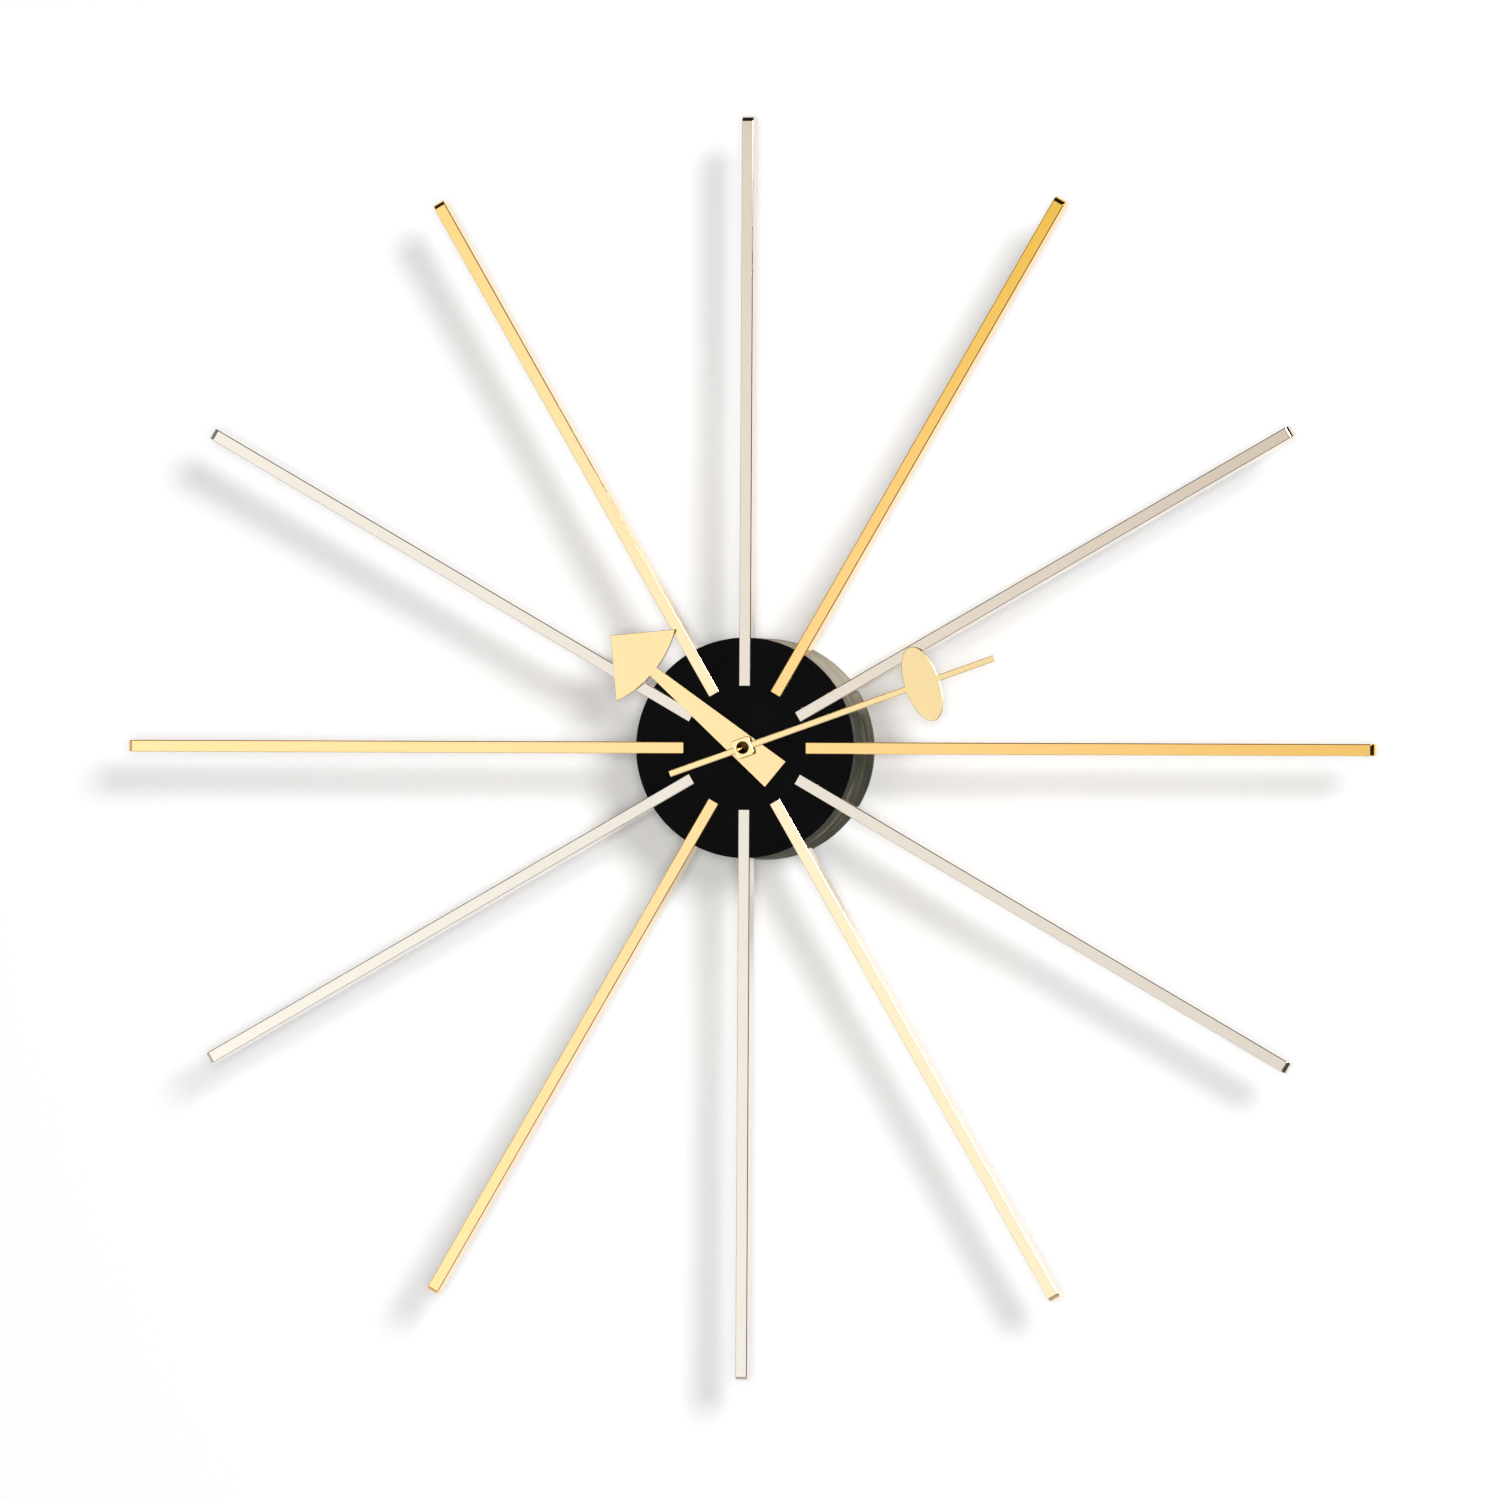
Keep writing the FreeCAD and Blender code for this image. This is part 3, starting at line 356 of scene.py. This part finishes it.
def dress_clock():
    for hour in range(12):
        name = f"ray_bar_{hour or 12}_oclock"
        # Painted reflection: the bars at 5 and 11 o'clock start from a paler brass, and every bar deepens
        # towards the upper right.
        if hour in PALE_REFLECTION_HOURS:
            paint(bar_metal(f"brass_{hour}", BRASS_PAINTED_PALE, BRASS_PAINTED_DEEP, hour, span=PALE_REFLECTION_SPAN), name)
        elif hour % 2:
            paint(bar_metal(f"brass_{hour}", BRASS, BRASS_PAINTED_DEEP, hour), name)
        else:
            paint(bar_metal(f"nickel_{hour or 12}", NICKEL, NICKEL_PAINTED_DEEP, hour), name)
    paint(black_lacquer(), "front_disc")
    paint(case_metal(), "hub_case")
    paint(hand_metal("hand_gold", 0.20), "hour_hand", "hour_hand_collet", "minute_hand")
    paint(hand_metal("boss_gold", 0.09), "minute_hand_boss")
    paint(powder_coat(), "back_plate")
    paint(plain_metal("carrier_alloy", CARRIER_ALLOY, 0.32), "bar_carrier")
    paint(plain_metal("turned_brass", TURNED_BRASS, 0.26),
          "back_standoffs", "movement_nut", "movement_washer", "minute_arbor")
    paint(turned_nut(), "hand_nut")
    paint(plain_metal("screw_steel", SCREW_STEEL, 0.30),
          "bar_screws", "disc_screws", "standoff_front_screws", "back_plate_screws")
    paint(plain_metal("contact_steel", CONTACT_STEEL, 0.24),
          "battery_contact_positive", "battery_contact_negative", "quartz_crystal")
    paint(plain_metal("stator_iron", STATOR_IRON, 0.42), "coil_stator", "rotor_magnet")
    paint(moulded("movement_plastic", MOVEMENT_BLACK, 0.50),
          "movement_front_case", "movement_rear_case")
    paint(moulded("chip_resin", CHIP_BLACK, 0.25), "clock_chip")
    paint(moulded("gasket_rubber", GASKET_BLACK, 0.75), "movement_gasket")
    paint(moulded("knob_plastic", KNOB_CREAM, 0.45), "setting_knob")
    paint(moulded("gear_plastic", GEAR_CREAM, 0.40),
          "rotor", "relay_wheel", "seconds_wheel", "third_wheel", "centre_wheel", "minute_wheel",
          "hour_wheel")
    paint(banded_sleeve(), "battery")
    paint(wound_wire(), "drive_coil")
    paint(solder_mask(), "circuit_board")


# Studio

def mesh_object(name, vertices, faces, material):
    mesh = bpy.data.meshes.new(name)
    mesh.from_pydata(vertices, [], faces)
    mesh.materials.append(material)
    thing = bpy.data.objects.new(name, mesh)
    bpy.context.scene.collection.objects.link(thing)
    return thing


def wall_material():
    """White wall paint, seen only from the front so that the back views stay open."""
    surface = Surface("wall_paint", (WALL_WHITE,) * 3, 0.9)
    texture = surface.noise(500.0, detail=3.0)
    surface.bump(texture, 0.02, 0.0001)
    surface.shader.inputs["Specular IOR Level"].default_value = 0.0
    clear = surface.add("ShaderNodeBsdfTransparent")
    back = surface.add("ShaderNodeNewGeometry").outputs["Backfacing"]
    either = surface.add("ShaderNodeMixShader", Fac=back)
    surface.tree.links.new(surface.shader.outputs["BSDF"], either.inputs[1])
    surface.tree.links.new(clear.outputs["BSDF"], either.inputs[2])
    output = surface.tree.nodes["Material Output"]
    surface.tree.links.new(either.outputs["Shader"], output.inputs["Surface"])
    return surface.material


def wall():
    """A large square with a round hole behind the case, so light reaches the clock's back."""
    inner = []
    outer = []
    for i in range(WALL_SIDES):
        turn = 2 * math.pi * i / WALL_SIDES
        ray = Vector((math.cos(turn), 0.0, math.sin(turn)))
        reach = WALL_HALF / max(abs(ray.x), abs(ray.z))
        inner.append(ray * WALL_HOLE_R + Vector((0.0, WALL_GAP, 0.0)))
        outer.append(ray * reach + Vector((0.0, WALL_GAP, 0.0)))
    faces = []
    for i in range(WALL_SIDES):
        after = (i + 1) % WALL_SIDES
        faces.append((i, WALL_SIDES + i, WALL_SIDES + after, after))
    thing = mesh_object("wall", inner + outer, faces, wall_material())


def card_material():
    """A glowing card, dimmer towards its upper right, that the polished bars reflect."""
    material = bpy.data.materials.new("studio_card")
    material.use_nodes = True
    tree = material.node_tree
    tree.nodes.clear()
    output = tree.nodes.new("ShaderNodeOutputMaterial")
    glow = tree.nodes.new("ShaderNodeEmission")
    place = tree.nodes.new("ShaderNodeTexCoord")
    turn = tree.nodes.new("ShaderNodeVectorMath")
    turn.operation = "DOT_PRODUCT"
    turn.inputs[1].default_value = CARD_UPHILL
    ramp = tree.nodes.new("ShaderNodeMapRange")
    ramp.inputs["From Min"].default_value = CARD_SPAN[0]
    ramp.inputs["From Max"].default_value = CARD_SPAN[1]
    ramp.inputs["To Min"].default_value = CARD_BRIGHT
    ramp.inputs["To Max"].default_value = CARD_DIM
    tree.links.new(place.outputs["Object"], turn.inputs[0])
    tree.links.new(turn.outputs["Value"], ramp.inputs["Value"])
    tree.links.new(ramp.outputs["Result"], glow.inputs["Strength"])
    tree.links.new(glow.outputs["Emission"], output.inputs["Surface"])
    return material


def reflector_card():
    corners = [
        (CARD_X[0], CARD_Y, CARD_Z[0]),
        (CARD_X[1], CARD_Y, CARD_Z[0]),
        (CARD_X[1], CARD_Y, CARD_Z[1]),
        (CARD_X[0], CARD_Y, CARD_Z[1]),
    ]
    card = mesh_object("studio_card", corners, [(0, 1, 2, 3)], card_material())
    card.visible_camera = False
    card.visible_shadow = False


def area_light(name, place, power, size, glossy):
    data = bpy.data.lights.new(name, "AREA")
    data.shape = "DISK"
    data.size = size
    data.energy = power
    light = bpy.data.objects.new(name, data)
    light.location = place
    light.rotation_mode = "QUATERNION"
    light.rotation_quaternion = (-Vector(place)).to_track_quat("-Z", "Y")
    light.visible_glossy = glossy
    bpy.context.scene.collection.objects.link(light)


def world_light():
    """Even light for matt surfaces; polished ones see a room that is dark above and to the right."""
    world = bpy.data.worlds.new("studio")
    world.use_nodes = True
    bpy.context.scene.world = world
    tree = world.node_tree
    tree.nodes.clear()
    output = tree.nodes.new("ShaderNodeOutputWorld")
    path = tree.nodes.new("ShaderNodeLightPath")
    room = backdrop_light(tree, ROOM_BRIGHT)
    room_or_even = tree.nodes.new("ShaderNodeMixShader")
    any_but_camera = tree.nodes.new("ShaderNodeMixShader")
    tree.links.new(room_brightness(tree), room.inputs["Strength"])
    tree.links.new(path.outputs["Is Glossy Ray"], room_or_even.inputs["Fac"])
    tree.links.new(backdrop_light(tree, WORLD_LIGHT).outputs["Background"], room_or_even.inputs[1])
    tree.links.new(room.outputs["Background"], room_or_even.inputs[2])
    tree.links.new(path.outputs["Is Camera Ray"], any_but_camera.inputs["Fac"])
    tree.links.new(room_or_even.outputs["Shader"], any_but_camera.inputs[1])
    tree.links.new(backdrop_light(tree, WORLD_BACKDROP).outputs["Background"], any_but_camera.inputs[2])
    tree.links.new(any_but_camera.outputs["Shader"], output.inputs["Surface"])


def backdrop_light(tree, strength):
    light = tree.nodes.new("ShaderNodeBackground")
    light.inputs["Color"].default_value = (1.0, 1.0, 1.0, 1.0)
    light.inputs["Strength"].default_value = strength
    return light


def room_brightness(tree):
    """Falls off smoothly along ROOM_UPHILL."""
    place = tree.nodes.new("ShaderNodeTexCoord")
    uphill = tree.nodes.new("ShaderNodeVectorMath")
    uphill.operation = "DOT_PRODUCT"
    uphill.inputs[1].default_value = ROOM_UPHILL
    ramp = tree.nodes.new("ShaderNodeMapRange")
    ramp.interpolation_type = "SMOOTHSTEP"
    ramp.inputs["From Min"].default_value = ROOM_SPAN[0]
    ramp.inputs["From Max"].default_value = ROOM_SPAN[1]
    ramp.inputs["To Min"].default_value = ROOM_BRIGHT
    ramp.inputs["To Max"].default_value = ROOM_DARK
    tree.links.new(place.outputs["Generated"], uphill.inputs[0])
    tree.links.new(uphill.outputs["Value"], ramp.inputs["Value"])
    return ramp.outputs["Result"]


def camera_frame():
    """The camera's turn and place from its angles round the hub."""
    azimuth = math.radians(CAMERA_AZIMUTH)
    elevation = math.radians(CAMERA_ELEVATION)
    roll = math.radians(CAMERA_ROLL)
    back = Vector((
        math.sin(azimuth) * math.cos(elevation),
        -math.cos(azimuth) * math.cos(elevation),
        math.sin(elevation),
    ))
    level = (-back).cross(Vector((0.0, 0.0, 1.0))).normalized()
    upright = level.cross(-back)
    right = level * math.cos(roll) + upright * math.sin(roll)
    up = upright * math.cos(roll) - level * math.sin(roll)
    turn = Matrix((right, up, back)).transposed().to_4x4()
    return Matrix.Translation(CAMERA_TARGET + back * CAMERA_DISTANCE) @ turn


def camera():
    data = bpy.data.cameras.new("camera")
    data.lens = CAMERA_LENS
    data.sensor_width = CAMERA_SENSOR
    data.sensor_fit = "HORIZONTAL"
    data.clip_start = CAMERA_CLIP[0]
    data.clip_end = CAMERA_CLIP[1]
    shooter = bpy.data.objects.new("camera", data)
    bpy.context.scene.collection.objects.link(shooter)
    shooter.matrix_world = camera_frame()
    bpy.context.scene.camera = shooter
    return shooter


def studio():
    bpy.context.scene.view_settings.view_transform = "Standard"
    wall()
    reflector_card()
    world_light()
    shooter = camera()
    area_light("key_light", KEY_DIRECTION.normalized() * KEY_DISTANCE, KEY_POWER, KEY_SIZE, True)
    area_light("fill_light", shooter.matrix_world.translation, FILL_POWER, FILL_SIZE, False)
    area_light("back_light", BACK_PLACE, BACK_POWER, BACK_SIZE, True)


dress_clock()
studio()
